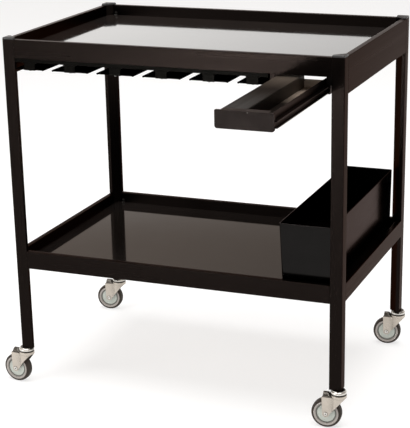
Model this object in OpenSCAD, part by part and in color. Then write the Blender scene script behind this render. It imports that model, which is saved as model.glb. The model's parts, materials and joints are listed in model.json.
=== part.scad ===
// Two-tier serving trolley on four swivel castors, with a stemware rack, a pull-out drawer and a bottle box.
// Units are millimetres. +Z is up, +X is to the right and -Y is the front, where the drawer comes out.
// The origin is on the floor, under the middle of the frame.

/* [Frame] */
// overall width of the frame over the legs
frame_width = 900; // [700:10:1200]
// overall depth of the frame over the legs
frame_depth = 609; // [450:1:750]
// height of the upper rails' top edge above the floor
rail_top = 942; // [800:1:1050]
// outside width of a leg's section
leg_size = 32; // [25:1:45]
// how much of each inner face the leg's 45 degree corner cut takes away
leg_cut = 22; // [5:1:24]
// wall thickness of the leg tube
leg_wall = 2.4; // [1.5:0.1:4]
// height of a leg's lower end above the floor
leg_foot = 103; // [101:1:130]
// thickness of the rails
rail_thickness = 15; // [10:1:22]
// height of the front, rear and lower rails
rail_height = 47; // [35:1:70]
// height of the two upper side rails
side_rail_height = 90; // [47:1:120]
// height of the lower rails' top edge above the floor
lower_top = 379; // [250:1:500]
// height of the plastic cap on each leg
cap_height = 5; // [3:0.5:10]

/* [Trays] */
// depth of a tray, from the rail's top edge down to the panel
tray_depth = 28.5; // [15:0.5:34]
// thickness of the two panels
panel_thickness = 6; // [4:0.5:12]
// gap left between a panel's edge and the rails
panel_gap = 0.4; // [0.2:0.1:1]
// width of the ledge that carries a panel
ledge_width = 10; // [6:1:16]
// thickness of that ledge
ledge_thickness = 3; // [2:0.5:5]

/* [Glass rack] */
// number of slots for glass stems
slot_count = 5; // [3:1:6]
// width of a slot between two rack rails
slot_width = 23.5; // [18:0.5:30]
// distance from one slot's centre to the next
slot_pitch = 124.5; // [95:0.5:130]
// distance of the first slot's centre from the frame's left face
first_slot = 122.4; // [90:0.1:150]
// height of the rack rails' underside above the floor
rack_bottom = 865.5; // [850:0.5:880]
// width of the box section in the middle of a rack rail
rack_web = 30; // [12:1:40]
// thickness of a rack rail's flanges
rack_flange = 2.6; // [2:0.1:4]
// radius of the bead along a flange's edge
rack_bead = 2.4; // [1.5:0.1:3.5]
// height of the two cross bars the rack hangs from
rack_bar_height = 10; // [6:1:20]

/* [Drawer] */
// how far the drawer is drawn out
drawer_out = 372; // [0:1:380]
// width of the drawer's front plate
drawer_front_width = 136; // [100:1:150]
// height of the drawer's front plate
drawer_front_height = 41; // [30:1:50]
// depth of the grip lip along the top of the front plate
drawer_lip = 25; // [10:1:30]
// thickness of the front plate
drawer_front_thickness = 6; // [3:0.5:12]
// length of the drawer from front face to back
drawer_length = 420; // [400:10:560]
// height of the low back edge of the drawer's tray
drawer_back = 22.5; // [6:0.5:30]
// distance from the frame's left face to the drawer front's left end
drawer_left = 720; // [700:1:722]
// thickness of the drawer's sheet walls
drawer_wall = 2; // [1:0.5:3]
// width of the shallow shelf on the drawer's left side
drawer_shelf = 54; // [30:1:70]

/* [Bottle box] */
// outside width of the box at its rim
box_width = 137; // [100:1:139]
// outside length of the box at its rim
box_length = 574; // [400:1:574]
// height of the box
box_height = 168.5; // [100:0.5:220]
// how much the box narrows from rim to base on its left side and at each end
box_draft = 6; // [5.5:0.5:10]
// how much it narrows on its right side, next to the rail
box_right_draft = 1; // [0:0.5:10]
// wall thickness of the box
box_wall = 2.5; // [1.5:0.5:5]
// distance from the frame's left face to the box rim
box_left = 729; // [700:1:731]
// distance from the frame's front face to the box rim
box_front = 23; // [21:1:23]

/* [Castors] */
// wheel diameter
wheel_diameter = 78; // [72:1:80]
// tread width
tyre_width = 23; // [16:1:24]
// horizontal distance from swivel axis to axle
castor_trail = 30; // [20:1:35]
// gap between the fork's cheeks
fork_gap = 25.2; // [24.8:0.1:30]
// sheet thickness of the fork
fork_sheet = 2.5; // [2:0.5:4]
// radius of the swivel head's lower race
race_radius = 21; // [18:0.5:26]
// distance of a castor's stem from the two outer faces of its leg
stem_inset = 8.5; // [8.5:0.5:13]
// radius of that stem
stem_radius = 4; // [3:0.5:4]
// radius of the axle bolt
axle_radius = 4; // [3:0.5:5]
// running clearance on the radius of axle and kingpin
running_fit = 0.08; // [0.02:0.01:0.1]
// how far each castor is turned about its stem: front left, front right, rear left, rear right
swivel_angles = [-5, 4, 7, 6];

/* [Hidden] */
$fn = 64;
hw = frame_width / 2;
hd = frame_depth / 2;
leg_land = leg_size - leg_cut;
panel_top = rail_top - tray_depth;
shelf_top = lower_top - tray_depth;
bar_top = rail_top - rail_height;
bar_bottom = bar_top - rack_bar_height;
rail_span = frame_width - 2 * leg_size;
side_span = frame_depth - 2 * leg_size;
panel_edge = rail_thickness + panel_gap;
flange_span = slot_pitch - slot_width;
rack_length = frame_depth - 6;
drawer_front_y = -hd - drawer_out;
drawer_top = bar_top - 5;
drawer_bottom = drawer_top - drawer_front_height;
tray_bottom = drawer_bottom + 6;
tray_top = drawer_top - 1;
tray_left = drawer_left + 11 - hw;
tray_width = drawer_front_width - 17;
tray_front = drawer_front_y + drawer_front_thickness;
tray_length = drawer_length - drawer_front_thickness;
slide_height = 17;
slide_depth = 10.5;
slide_bottom = drawer_bottom + 6.5;
runner_wall = 2;
runner_gap = 0.5;
runner_length = drawer_length - 20;
runner_front = -hd + 34;
runner_lead = 27.5;
box_x = box_left - hw;
box_y = box_front - hd;
box_bottom = shelf_top + 0.3;
foot_height = 2;
wheel_radius = wheel_diameter / 2;
crown_bottom = wheel_diameter + 6;
crown_top = crown_bottom + 3;
race_top = leg_foot - 8.4;
stem_x = hw - stem_inset;
stem_y = hd - stem_inset;
swivel_spots = [[-stem_x, -stem_y], [stem_x, -stem_y], [-stem_x, stem_y], [stem_x, stem_y]];

// ---------------------------------------------------------------- shared shapes

// a leg's section with its outer corner at the origin, grown outwards by g
module leg_section(g = 0) {
    e = 1.2;
    c = leg_land + 0.414 * g;
    s = leg_size + g;
    polygon([[e - g, -g], [s - e, -g], [s, e - g], [s, c], [c, s], [e - g, s], [-g, s - e], [-g, e - g]]);
}

// puts a child drawn for the front left corner at each of the four corners, mirrored to suit
module at_corner(i) {
    mx = (i % 2 == 1) ? 1 : 0;
    my = (i > 1) ? 1 : 0;
    mirror([mx, 0, 0])
        mirror([0, my, 0])
            translate([-hw, -hd, 0])
                children();
}

// a rail's section: x is thickness from the outer face, y is height
module rail_section(height) {
    b = 1.5;
    t = rail_thickness;
    ledge = height - tray_depth - panel_thickness;
    difference() {
        union() {
            polygon([[0.6, 0], [t, 0], [t, height - b], [t - b, height],
                [b, height], [0, height - b], [0, 0.6]]);
            translate([t - 1, ledge - ledge_thickness])
                square([ledge_width + 1, ledge_thickness]);
        }
        translate([2, 2.2])
            square([t - 4, height - 5]);
    }
}

// a front rail, from leg to leg
module front_rail(top, height) {
    translate([-rail_span / 2, -hd, top - height])
        rotate([90, 0, 90])
            linear_extrude(height = rail_span)
                rail_section(height);
}

// a left side rail, from leg to leg
module left_rail(top, height) {
    translate([-hw, side_span / 2, top - height])
        rotate([90, 0, 0])
            linear_extrude(height = side_span)
                rail_section(height);
}

module leg(i) {
    at_corner(i)
        difference() {
            translate([0, 0, leg_foot])
                linear_extrude(height = rail_top - leg_foot)
                    leg_section();
            translate([0, 0, leg_foot - 1])
                linear_extrude(height = rail_top - leg_foot + 2)
                    leg_section(-leg_wall);
        }
}

module panel(top) {
    w = frame_width - 2 * panel_edge;
    d = frame_depth - 2 * panel_edge;
    difference() {
        translate([-w / 2, -d / 2, top - panel_thickness])
            cube([w, d, panel_thickness]);
        for (i = [0:3])
            at_corner(i)
                translate([0, 0, top - panel_thickness - 1])
                    linear_extrude(height = panel_thickness + 2)
                        leg_section(panel_gap);
    }
}

// ---------------------------------------------------------------- frame

module leg_front_left() color([0.09, 0.08, 0.07]) leg(0);
module leg_front_right() color([0.09, 0.08, 0.07]) leg(1);
module leg_rear_left() color([0.09, 0.08, 0.07]) leg(2);
module leg_rear_right() color([0.09, 0.08, 0.07]) leg(3);

// bevelled caps with a plug that goes down inside the tube
module leg_caps() color([0.05, 0.05, 0.05])
    for (i = [0:3])
        at_corner(i) {
            hull() {
                translate([0, 0, rail_top])
                    linear_extrude(height = cap_height - 2)
                        leg_section(-0.1);
                translate([0, 0, rail_top])
                    linear_extrude(height = cap_height)
                        leg_section(-2);
            }
            translate([0, 0, rail_top - 14])
                linear_extrude(height = 14.5)
                    leg_section(-leg_wall - 0.1);
        }

// sockets pressed into the legs' lower ends to take the castor stems
module leg_inserts() color([0.12, 0.12, 0.12])
    for (i = [0:3])
        at_corner(i)
            difference() {
                translate([0, 0, leg_foot])
                    linear_extrude(height = 42)
                        leg_section(-leg_wall - 0.1);
                translate([stem_inset, stem_inset, leg_foot - 1])
                    cylinder(h = 44, r = stem_radius + 0.1);
            }

module upper_front_rail() color([0.1, 0.09, 0.08]) front_rail(rail_top, rail_height);
module upper_rear_rail() color([0.1, 0.09, 0.08]) mirror([0, 1, 0]) front_rail(rail_top, rail_height);
module upper_left_rail() color([0.1, 0.09, 0.08]) left_rail(rail_top, side_rail_height);
module upper_right_rail() color([0.1, 0.09, 0.08]) mirror([1, 0, 0]) left_rail(rail_top, side_rail_height);
module lower_front_rail() color([0.1, 0.09, 0.08]) front_rail(lower_top, rail_height);
module lower_rear_rail() color([0.1, 0.09, 0.08]) mirror([0, 1, 0]) front_rail(lower_top, rail_height);
module lower_left_rail() color([0.1, 0.09, 0.08]) left_rail(lower_top, rail_height);
module lower_right_rail() color([0.1, 0.09, 0.08]) mirror([1, 0, 0]) left_rail(lower_top, rail_height);

module top_panel() color([0.06, 0.06, 0.06]) panel(panel_top);
module lower_panel() color([0.06, 0.06, 0.06]) panel(shelf_top);

// flat gussets screwed up against the ledges in every corner of both trays
module corner_plates() color([0.4, 0.4, 0.42])
    for (top = [panel_top, shelf_top])
        for (i = [0:3])
            at_corner(i)
                translate([0, 0, top - panel_thickness - ledge_thickness - 2.5])
                    linear_extrude(height = 2.5)
                        polygon([[rail_thickness, leg_size + 1], [leg_size + 1, rail_thickness],
                            [leg_size + 26, rail_thickness], [leg_size + 26, rail_thickness + 9],
                            [rail_thickness + 9, leg_size + 26], [rail_thickness, leg_size + 26]]);

// pan head screws that hold the gussets to the ledges
module corner_screws() color([0.6, 0.6, 0.6])
    for (top = [panel_top, shelf_top])
        for (i = [0:3])
            at_corner(i)
                for (p = [[leg_size + 20, rail_thickness + 4.5], [rail_thickness + 4.5, leg_size + 20]])
                    translate([p[0], p[1], top - panel_thickness - ledge_thickness - 4.5])
                        cylinder(h = 2, r = 3.5);

// ---------------------------------------------------------------- glass rack

module rack_bar() {
    length = drawer_left - 10 - leg_size;
    translate([-hw + leg_size, -hd + 2, bar_bottom])
        cube([length, 12, rack_bar_height]);
}

module rack_front_bar() color([0.08, 0.08, 0.07]) rack_bar();
module rack_rear_bar() color([0.08, 0.08, 0.07]) mirror([0, 1, 0]) rack_bar();

// a rack rail from x1 to x2 with its box section in the middle and beads along both edges
module rack_rail(x1, x2) {
    mid = (x1 + x2) / 2;
    z = rack_bottom + rack_bead;
    translate([0, -rack_length / 2, 0]) {
        translate([x1 + rack_bead, 0, z - rack_flange / 2])
            cube([x2 - x1 - 2 * rack_bead, rack_length, rack_flange]);
        translate([mid - rack_web / 2, 0, rack_bottom])
            cube([rack_web, rack_length, bar_bottom - rack_bottom]);
        for (x = [x1 + rack_bead, x2 - rack_bead])
            translate([x, 0, z])
                rotate([-90, 0, 0])
                    cylinder(h = rack_length, r = rack_bead, $fn = 24);
    }
}

module rack_rail_number(n) {
    left = -hw + first_slot + (n - 2) * slot_pitch + slot_width / 2;
    rack_rail(left, left + flange_span);
}

module rack_rail_1() color([0.08, 0.08, 0.07])
    rack_rail(-hw + leg_size + 1, -hw + first_slot - slot_width / 2);
module rack_rail_2() color([0.08, 0.08, 0.07]) rack_rail_number(2);
module rack_rail_3() color([0.08, 0.08, 0.07]) rack_rail_number(3);
module rack_rail_4() color([0.08, 0.08, 0.07]) rack_rail_number(4);
module rack_rail_5() color([0.08, 0.08, 0.07]) rack_rail_number(5);
module rack_rail_6() color([0.08, 0.08, 0.07])
    rack_rail(-hw + first_slot + 4 * slot_pitch + slot_width / 2, drawer_left - 11 - hw);

// one screw through each end of every rack rail, with its head under the rail
module rack_screws() color([0.6, 0.6, 0.6])
    for (n = [0:slot_count])
        for (s = [-1, 1]) {
            x = (n == 0) ? -hw + (leg_size + 1 + first_slot - slot_width / 2) / 2
                : -hw + first_slot + (n - 0.5) * slot_pitch;
            translate([(n == slot_count) ? x - 10 : x, s * (hd - 8), rack_bottom - 1.8])
                cylinder(h = 1.8, r = 3.5, $fn = 32);
        }

// ---------------------------------------------------------------- drawer runners

// a channel that opens towards +X and holds a drawer slide
module runner_channel(length) {
    h = slide_height + 2 * runner_gap + 2 * runner_wall;
    difference() {
        cube([slide_depth, length, h]);
        translate([runner_wall, -1, runner_wall])
            cube([slide_depth, length + 2, h - 2 * runner_wall]);
    }
}

// left channel, hung from the top panel by a folded web, with a flange that closes its front end
module runner_left() color([0.3, 0.3, 0.3]) {
    x = tray_left - slide_depth - runner_gap - runner_wall;
    z = slide_bottom - runner_gap - runner_wall;
    under = panel_top - panel_thickness;
    lead = runner_front - runner_lead;
    translate([x, lead, z])
        runner_channel(runner_length + runner_lead);
    translate([x - 2, lead, z])
        cube([2, runner_length + runner_lead, bar_top - 0.5 - z]);
    translate([x - 2, runner_front, z])
        cube([2, runner_length, under - z]);
    translate([x - 18, runner_front, under - 2])
        cube([17, runner_length, 2]);
    translate([x - 6, lead, z + 7])
        cube([5, 2, bar_top - 0.5 - z - 7]);
    translate([x - 6, lead, z + 21])
        cube([15, 2, bar_top - 0.5 - z - 21]);
}

// right channel, carried by two blocks on the side rail, with a flange over its front end
module runner_right() color([0.3, 0.3, 0.3]) {
    x = tray_left + tray_width + slide_depth + runner_gap + runner_wall;
    z = slide_bottom - runner_gap - runner_wall;
    lead = runner_front - runner_lead;
    translate([x, lead, z])
        mirror([1, 0, 0])
            runner_channel(runner_length + runner_lead);
    translate([x - 9, lead, z + 21])
        cube([13, 2, bar_top - 0.5 - z - 21]);
    for (y = [60, runner_length - 60])
        translate([x, runner_front + y, z + 2])
            cube([hw - rail_thickness - x, 34, slide_height]);
}

// ---------------------------------------------------------------- drawer

// long shallow sheet tray with a low back edge
module drawer_tray() color([0.16, 0.14, 0.13])
    translate([tray_left, tray_front, tray_bottom]) {
        cube([tray_width, tray_length, drawer_wall]);
        for (x = [0, tray_width - drawer_wall])
            translate([x, 0, 0])
                cube([drawer_wall, tray_length, tray_top - tray_bottom]);
        translate([0, tray_length - drawer_wall, 0])
            cube([tray_width, drawer_wall, drawer_back]);
    }

// front plate with rounded lower corners and a grip lip along its top
module drawer_front() color([0.17, 0.15, 0.14]) {
    r = 6;
    w = drawer_front_width;
    h = drawer_front_height;
    translate([drawer_left - hw, drawer_front_y, drawer_bottom])
        difference() {
            union() {
                translate([0, drawer_front_thickness, 0])
                    rotate([90, 0, 0])
                        linear_extrude(height = drawer_front_thickness)
                            union() {
                                translate([r, r]) circle(r = r);
                                translate([w - r, r]) circle(r = r);
                                translate([r, 0]) square([w - 2 * r, h]);
                                translate([0, r]) square([w, h - r - 2]);
                                translate([2, r]) square([w - 4, h - r]);
                            }
                translate([14, 0, h - 3])
                    cube([w - 28, drawer_lip, 3]);
            }
            translate([w / 2, -1, h - 2.5])
                rotate([-90, 0, 0])
                    cylinder(h = 3, r = 1.2, $fn = 24);
        }
}

// folded plate that makes the shallow shelf along the tray's left side
module drawer_shelf_plate() color([0.19, 0.17, 0.15])
    translate([tray_left + drawer_wall, tray_front, tray_bottom + drawer_wall]) {
        translate([0, 0, tray_top - tray_bottom - drawer_wall - 10])
            cube([drawer_shelf, tray_length - drawer_wall - 1, 1.5]);
        translate([drawer_shelf - 1.5, 0, 0])
            cube([1.5, tray_length - drawer_wall - 1, tray_top - tray_bottom - drawer_wall - 8.5]);
    }

// the two bars that run in the channels
module drawer_slides() color([0.25, 0.25, 0.25])
    for (x = [tray_left - slide_depth, tray_left + tray_width])
        translate([x, tray_front + 2, slide_bottom])
            cube([slide_depth, tray_length - 4, slide_height]);

// two screws per side, with heads inside the tray
module drawer_screws() color([0.6, 0.6, 0.6])
    for (y = [60, tray_length - 60]) {
        z = slide_bottom + slide_height / 2;
        translate([tray_left + tray_width - drawer_wall - 1.5, tray_front + y, z])
            rotate([0, 90, 0])
                cylinder(h = 1.5, r = 3, $fn = 32);
        translate([tray_left + drawer_wall, tray_front + y, z - 2])
            rotate([0, 90, 0])
                cylinder(h = 1.5, r = 3, $fn = 32);
    }

// ---------------------------------------------------------------- bottle box

// the box's outline as a solid, made smaller by g all round
module box_form(g) {
    d = box_draft;
    both = box_draft + box_right_draft;
    hull() {
        translate([box_x + g, box_y + g, box_bottom + box_height])
            cube([box_width - 2 * g, box_length - 2 * g, 0.02]);
        translate([box_x + d + g, box_y + d + g, box_bottom + foot_height])
            cube([box_width - both - 2 * g, box_length - 2 * d - 2 * g, 0.02]);
    }
}

module bottle_box() color([0.12, 0.12, 0.12])
    difference() {
        box_form(0);
        translate([0, 0, box_wall])
            box_form(box_wall);
    }

// soft mat that lies on the box's floor
module box_mat() color([0.05, 0.05, 0.05]) {
    m = box_draft + box_wall + 1.5;
    translate([box_x + m, box_y + m, box_bottom + foot_height + box_wall])
        cube([box_width - 2 * m, box_length - 2 * m, 2]);
}

// four round pads under the box
module box_feet() color([0.05, 0.05, 0.05])
    for (x = [22, box_width - 22])
        for (y = [30, box_length - 30])
            translate([box_x + x, box_y + y, box_bottom])
                cylinder(h = foot_height, r = 7, $fn = 32);

// ---------------------------------------------------------------- castors

// puts a castor drawn about its swivel axis under leg i, turned by its own angle
module at_castor(i) {
    translate([swivel_spots[i][0], swivel_spots[i][1], 0])
        rotate([0, 0, swivel_angles[i]])
            children();
}

// puts a child drawn about the axle, standing up, onto the axle
module on_axle() {
    translate([-castor_trail, 0, wheel_radius])
        rotate([90, 0, 0])
            children();
}

// fixed half: stem, upper race, kingpin and its riveted end
module castor_head() color([0.75, 0.73, 0.7]) {
    translate([0, 0, leg_foot])
        cylinder(h = 38, r = stem_radius);
    rotate_extrude()
        polygon([[0, race_top + 0.4], [race_radius - 3.5, race_top + 0.4],
            [race_radius - 1.5, race_top + 2.5], [race_radius - 1.5, leg_foot - 3],
            [race_radius - 4, leg_foot], [0, leg_foot]]);
    translate([0, 0, crown_bottom - 0.4])
        cylinder(h = race_top + 0.5 - crown_bottom + 0.4, r = 6);
    translate([0, 0, crown_bottom - 3])
        cylinder(h = 2.7, r = 9);
}

// swivelling half: lower race, crown and two cheeks
module castor_fork() color([0.7, 0.67, 0.62]) {
    half = fork_gap / 2 + fork_sheet;
    difference() {
        union() {
            translate([-castor_trail - 12, -half, crown_bottom])
                cube([castor_trail + 28, 2 * half, crown_top - crown_bottom]);
            rotate_extrude()
                polygon([[0, crown_bottom], [race_radius - 5, crown_bottom],
                    [race_radius - 2, crown_top], [race_radius, crown_top + 3],
                    [race_radius, race_top - 2], [race_radius - 2.5, race_top], [0, race_top]]);
        }
        translate([0, 0, crown_bottom - 1])
            cylinder(h = 40, r = 6 + running_fit);
    }
    for (s = [-1, 1])
        translate([0, (s > 0) ? half : -fork_gap / 2, 0])
            rotate([90, 0, 0])
                linear_extrude(height = fork_sheet)
                    difference() {
                        union() {
                            polygon([[-castor_trail - 12, crown_top], [16, crown_top], [16, crown_bottom - 5],
                                [-castor_trail + 8, wheel_radius], [-castor_trail - 9, wheel_radius]]);
                            translate([-castor_trail, wheel_radius])
                                circle(r = 9);
                        }
                        translate([-castor_trail, wheel_radius])
                            circle(r = axle_radius + 0.02);
                    }
}

// axle bolt with a head on one side and a nut on the other
module castor_axle() color([0.8, 0.8, 0.78]) {
    half = fork_gap / 2 + fork_sheet;
    on_axle() {
        translate([0, 0, -half - 2])
            cylinder(h = 2 * half + 2.5, r = axle_radius);
        translate([0, 0, half])
            cylinder(h = 1.2, r = 6);
        translate([0, 0, -half - 4.5])
            cylinder(h = 4.5, r = 7, $fn = 6);
    }
}

// wheel centre with a bored boss and a dished web
module castor_hub() color([0.66, 0.69, 0.66])
    on_axle()
        rotate_extrude() {
            b = axle_radius + running_fit;
            polygon([[b, -12.2], [8, -12.2], [9, -9], [19.5, -8], [20, -6], [23, -6], [23, -10], [25, -10],
                [25, 10], [23, 10], [23, 6], [20, 6], [19.5, 8], [9, 9], [8, 12.2], [b, 12.2]]);
        }

// rubber tyre with rounded shoulders
module castor_tyre() color([0.35, 0.33, 0.31])
    on_axle()
        rotate_extrude() {
            r = wheel_radius;
            w = tyre_width / 2;
            polygon([[25, -w + 1.5], [26, -w + 0.5], [32, -w], [r - 4, -w + 0.6],
                [r - 1.2, -w + 3], [r, -w + 7], [r, w - 7], [r - 1.2, w - 3],
                [r - 4, w - 0.6], [32, w], [26, w - 0.5], [25, w - 1.5]]);
        }

module castor_fl_head() at_castor(0) castor_head();
module castor_fl_fork() at_castor(0) castor_fork();
module castor_fl_axle() at_castor(0) castor_axle();
module castor_fl_hub() at_castor(0) castor_hub();
module castor_fl_tyre() at_castor(0) castor_tyre();
module castor_fr_head() at_castor(1) castor_head();
module castor_fr_fork() at_castor(1) castor_fork();
module castor_fr_axle() at_castor(1) castor_axle();
module castor_fr_hub() at_castor(1) castor_hub();
module castor_fr_tyre() at_castor(1) castor_tyre();
module castor_rl_head() at_castor(2) castor_head();
module castor_rl_fork() at_castor(2) castor_fork();
module castor_rl_axle() at_castor(2) castor_axle();
module castor_rl_hub() at_castor(2) castor_hub();
module castor_rl_tyre() at_castor(2) castor_tyre();
module castor_rr_head() at_castor(3) castor_head();
module castor_rr_fork() at_castor(3) castor_fork();
module castor_rr_axle() at_castor(3) castor_axle();
module castor_rr_hub() at_castor(3) castor_hub();
module castor_rr_tyre() at_castor(3) castor_tyre();

leg_front_left();
leg_front_right();
leg_rear_left();
leg_rear_right();
leg_caps();
leg_inserts();
upper_front_rail();
upper_rear_rail();
upper_left_rail();
upper_right_rail();
lower_front_rail();
lower_rear_rail();
lower_left_rail();
lower_right_rail();
top_panel();
lower_panel();
corner_plates();
corner_screws();
rack_front_bar();
rack_rear_bar();
rack_rail_1();
rack_rail_2();
rack_rail_3();
rack_rail_4();
rack_rail_5();
rack_rail_6();
rack_screws();
runner_left();
runner_right();
drawer_tray();
drawer_front();
drawer_shelf_plate();
drawer_slides();
drawer_screws();
bottle_box();
box_mat();
box_feet();
castor_fl_head();
castor_fl_fork();
castor_fl_axle();
castor_fl_hub();
castor_fl_tyre();
castor_fr_head();
castor_fr_fork();
castor_fr_axle();
castor_fr_hub();
castor_fr_tyre();
castor_rl_head();
castor_rl_fork();
castor_rl_axle();
castor_rl_hub();
castor_rl_tyre();
castor_rr_head();
castor_rr_fork();
castor_rr_axle();
castor_rr_hub();
castor_rr_tyre();
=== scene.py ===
"""Detailed pieces, materials, light and camera for a two-tier serving trolley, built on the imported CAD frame.

Lengths are in metres, and MM turns a figure in millimetres into metres. +Z is up and -Y is the front.
"""

import json
import math

import bmesh
import bpy
from mathutils import Matrix, Vector


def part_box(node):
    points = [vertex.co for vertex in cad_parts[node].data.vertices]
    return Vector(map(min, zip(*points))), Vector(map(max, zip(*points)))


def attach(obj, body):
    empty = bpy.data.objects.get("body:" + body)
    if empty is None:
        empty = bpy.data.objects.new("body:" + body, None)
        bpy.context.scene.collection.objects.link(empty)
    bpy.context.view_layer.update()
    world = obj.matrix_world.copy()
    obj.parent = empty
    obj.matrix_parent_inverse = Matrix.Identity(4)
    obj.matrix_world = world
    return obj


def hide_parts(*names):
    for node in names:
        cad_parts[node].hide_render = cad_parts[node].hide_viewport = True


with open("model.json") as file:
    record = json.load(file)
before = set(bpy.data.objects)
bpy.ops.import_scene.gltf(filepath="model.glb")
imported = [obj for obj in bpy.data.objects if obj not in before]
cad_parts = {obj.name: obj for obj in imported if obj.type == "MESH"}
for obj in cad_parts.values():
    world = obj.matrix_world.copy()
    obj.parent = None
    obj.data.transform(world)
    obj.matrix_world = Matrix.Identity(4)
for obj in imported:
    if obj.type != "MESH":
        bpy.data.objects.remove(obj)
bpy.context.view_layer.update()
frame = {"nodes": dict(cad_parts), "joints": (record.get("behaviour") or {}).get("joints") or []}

bpy.context.scene.view_settings.view_transform = "Standard"

MM = 0.001
UP = Vector((0, 0, 1))
joints = {j["name"]: j for j in frame["joints"]}

# ------------------------------------------------------------------ sizes that several pieces share

leg_low, leg_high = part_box("leg_front_left")
HALF_WIDTH = -leg_low[0]
HALF_DEPTH = -leg_low[1]
LEG_SIZE = leg_high[0] - leg_low[0]
LEG_LAND = 10 * MM
LEG_WALL = 2.4 * MM
RAIL_THICKNESS = 15 * MM
PANEL_THICKNESS = 6 * MM
PANEL_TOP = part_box("top_panel")[1][2]
SHELF_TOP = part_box("lower_panel")[1][2]
CORNERS = ("front_left", "front_right", "rear_left", "rear_right")


# ------------------------------------------------------------------ outlines and meshes


def rounded(corners, steps=3):
    """A closed outline whose corners, each (u, v, radius), are rounded."""
    points = []
    for i, (u, v, radius) in enumerate(corners):
        here = Vector((u, v))
        before = Vector(corners[i - 1][:2]) - here
        after = Vector(corners[(i + 1) % len(corners)][:2]) - here
        half = before.angle(after) / 2
        cut = min(radius / math.tan(half), 0.49 * before.length, 0.49 * after.length)
        start = before.normalized() * cut
        end = after.normalized() * cut
        middle = (start + end).normalized() * (cut / math.cos(half))
        turn = math.pi - 2 * half
        for k in range(steps + 1):
            t = k / steps
            arm = (start - middle) * math.sin((1 - t) * turn) + (end - middle) * math.sin(t * turn)
            points.append(tuple(here + middle + arm / math.sin(turn)))
    return points


def rectangle(low, high, radius, steps=3):
    """A rounded rectangle between two opposite corners."""
    corners = [(low[0], low[1]), (high[0], low[1]), (high[0], high[1]), (low[0], high[1])]
    return rounded([(u, v, radius) for u, v in corners], steps)


def polar(radii):
    """A closed loop with one point for each radius, evenly spaced round the origin."""
    angles = [2 * math.pi * k / len(radii) for k in range(len(radii))]
    return [(r * math.cos(angle), r * math.sin(angle)) for r, angle in zip(radii, angles)]


def circle(radius, count):
    return polar([radius] * count)


def star(reach, waist, count=24):
    """A cross-shaped loop for a screw's recess, with four arms that end at reach."""
    quarter = count // 4
    return polar([reach if k % quarter in (0, 1, quarter - 1) else waist for k in range(count)])


def hexagon(reach, count):
    """A six-sided loop with its corners at reach, as many points as asked for."""
    half_side = math.pi / 6
    radii = []
    for k in range(count):
        from_middle = (2 * math.pi * k / count) % (2 * half_side) - half_side
        radii.append(reach * math.cos(half_side) / math.cos(from_middle))
    return polar(radii)


def in_mm(points):
    """Points given in millimetres, turned into metres."""
    return [(u * MM, v * MM) for u, v in points]


def along(axis, u, v, w):
    """The point of an outline drawn across an axis, at distance w along it."""
    return {"X": (w, u, v), "Y": (u, w, v), "Z": (u, v, w)}[axis]


class Shape:
    """The vertices and faces of one mesh, built ring by ring and placed by a matrix."""

    def __init__(self, matrix=None):
        self.verts = []
        self.faces = []
        self.matrix = matrix or Matrix.Identity(4)

    def ring(self, points):
        first = len(self.verts)
        self.verts += [self.matrix @ Vector(p) for p in points]
        return list(range(first, len(self.verts)))

    def skin(self, rings, closed=False, capped=True):
        """Joins rings of equal length by quads. A closed skin joins the last ring to the first."""
        ids = [self.ring(points) for points in rings]
        pairs = list(zip(ids, ids[1:]))
        if closed:
            pairs.append((ids[-1], ids[0]))
        for a, b in pairs:
            n = len(a)
            self.faces += [(a[i], a[(i + 1) % n], b[(i + 1) % n], b[i]) for i in range(n)]
        if capped and not closed:
            self.faces += [tuple(reversed(ids[0])), tuple(ids[-1])]

    def prism(self, outline, axis, low, high):
        self.skin([[along(axis, u, v, w) for u, v in outline] for w in (low, high)])

    def pipe(self, outer, inner, axis, low, high):
        loops = [(outer, low), (outer, high), (inner, high), (inner, low)]
        self.skin([[along(axis, u, v, w) for u, v in loop] for loop, w in loops], closed=True)

    def lathe(self, profile, steps=48, closed=False):
        """Turns a profile of (radius, height) about the local Z axis."""
        rings = [[(x, y, height) for x, y in circle(radius, steps)] for radius, height in profile]
        self.skin(rings, closed)

    def sheet(self, rows):
        """An open surface through rows of points."""
        ids = [self.ring(points) for points in rows]
        for a, b in zip(ids, ids[1:]):
            self.faces += [(a[i], a[i + 1], b[i + 1], b[i]) for i in range(len(a) - 1)]


def piece(name, shape, body, finish, replaces=(), bevel=0.0, crease=35):
    """Makes a shape into an object that rides on a body and stands for CAD nodes."""
    mesh = bpy.data.meshes.new(name)
    mesh.from_pydata(shape.verts, [], shape.faces)
    tool = bmesh.new()
    tool.from_mesh(mesh)
    bmesh.ops.recalc_face_normals(tool, faces=tool.faces)
    tool.to_mesh(mesh)
    tool.free()
    mesh.shade_smooth()
    obj = bpy.data.objects.new(name, mesh)
    bpy.context.scene.collection.objects.link(obj)
    mesh.materials.append(finish)
    if bevel:
        edges = obj.modifiers.new("edges", "BEVEL")
        edges.width = bevel
        edges.segments = 2
        edges.limit_method = "ANGLE"
        edges.angle_limit = math.radians(crease)
        edges.use_clamp_overlap = True
        obj.modifiers.new("shading", "WEIGHTED_NORMAL")
    else:
        mesh.set_sharp_from_angle(angle=math.radians(crease))
    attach(obj, body)
    if replaces:
        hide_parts(*replaces)
    return obj


def corner_matrix(index):
    """Puts a shape drawn for the front left corner, with its outer corner at the origin, at any corner."""
    side = 1 if index % 2 else -1
    end = 1 if index > 1 else -1
    mirror = Matrix.Diagonal((-side, -end, 1, 1))
    return Matrix.Translation((side * HALF_WIDTH, end * HALF_DEPTH, 0)) @ mirror


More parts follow.
